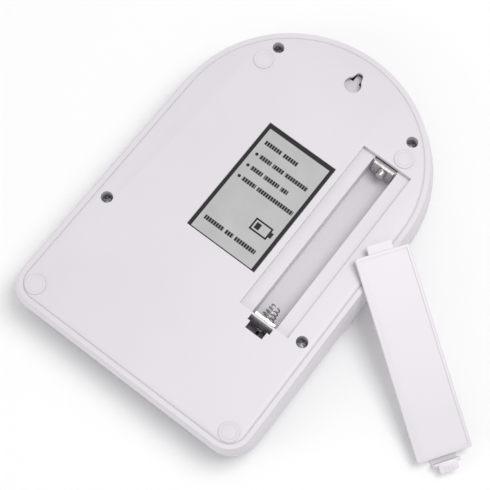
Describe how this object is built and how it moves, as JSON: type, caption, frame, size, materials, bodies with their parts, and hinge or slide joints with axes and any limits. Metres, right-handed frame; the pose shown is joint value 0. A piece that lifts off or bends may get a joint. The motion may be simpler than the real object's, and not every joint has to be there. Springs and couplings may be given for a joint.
{
  "type": "digital scale",
  "caption": "D-shaped white digital scale lying face down, with a leaning battery cover off its bay, a keyhole, feet and a rating label.",
  "frame": {"origin": "on the weighing platform's face, under the middle of the scale's length, where the face-down scale meets its resting surface", "axes": "+Z out of the underside, which looks up as the scale lies; +Y to the round end, with the display at -Y; +X to the side with the battery bay. Turn it half a turn about Y to stand it on its feet for use."},
  "size_m": [0.2446, 0.2311, 0.0341],
  "materials": {
    "housing_plastic": "moulded white ABS with a faint lilac cast, satin gloss",
    "platform_plastic": "polished white ABS",
    "foot_plastic": "white non-slip foot, matte",
    "sealant": "white silicone over the strain gauges",
    "lead_white": "white insulated lead",
    "lead_red": "red insulated lead",
    "lead_black": "black insulated lead",
    "grey_plastic": "moulded grey plastic",
    "screw_steel": "dark plated steel",
    "nickel": "nickel-plated spring steel",
    "label_foil": null,
    "aluminium": "milled aluminium",
    "board": "green solder mask",
    "black_plastic": "black moulded plastic or epoxy",
    "lcd_glass": "grey-green liquid crystal cell",
    "window": "smoked clear display window"
  },
  "bodies": {
    "housing": {"base_cover": "housing_plastic", "battery_tray": "housing_plastic", "top_housing": "housing_plastic", "rating_label": "label_foil", "foot_1": "foot_plastic", "foot_2": "foot_plastic", "foot_3": "foot_plastic", "foot_4": "foot_plastic", "housing_screw_1": "screw_steel", "housing_screw_2": "screw_steel", "housing_screw_3": "screw_steel", "housing_screw_4": "screw_steel", "positive_contact": "nickel", "negative_contact": "nickel", "battery_spring": "nickel", "load_cell": "aluminium", "cell_screw": "screw_steel", "gauge_cover_low": "sealant", "gauge_cover_high": "sealant", "circuit_board": "board", "board_screw_1": "screw_steel", "board_screw_2": "screw_steel", "chip_blob": "black_plastic", "lcd_module": "lcd_glass", "display_window": "window", "tare_switch": "black_plastic", "unit_switch": "black_plastic", "negative_lead": "lead_black", "positive_lead": "lead_red", "cell_lead": "lead_white"},
    "weighing_deck": {"platform": "platform_plastic", "platform_carrier": "grey_plastic", "carrier_screw": "screw_steel"},
    "loose_cover": {"battery_cover": "housing_plastic"},
    "tare_button": {"tare_key": "grey_plastic"},
    "unit_button": {"unit_key": "grey_plastic"}
  },
  "joints": [
    {"name": "platform_press", "type": "slide", "parent": "housing", "child": "weighing_deck", "axis": [0, 0, 1], "range_m": [0, 0.0005], "stiffness_N_per_m": 20000},
    {"name": "cover_draw", "type": "slide", "parent": "housing", "child": "loose_cover", "axis": [0.8241, -0.5664, 0], "range_m": [0, 0.06]},
    {"name": "tare_press", "type": "slide", "parent": "housing", "child": "tare_button", "axis": [0, 0, 1], "range_m": [0, 0.0006], "stiffness_N_per_m": 400},
    {"name": "unit_press", "type": "slide", "parent": "housing", "child": "unit_button", "axis": [0, 0, 1], "range_m": [0, 0.0006], "stiffness_N_per_m": 400}
  ]
}
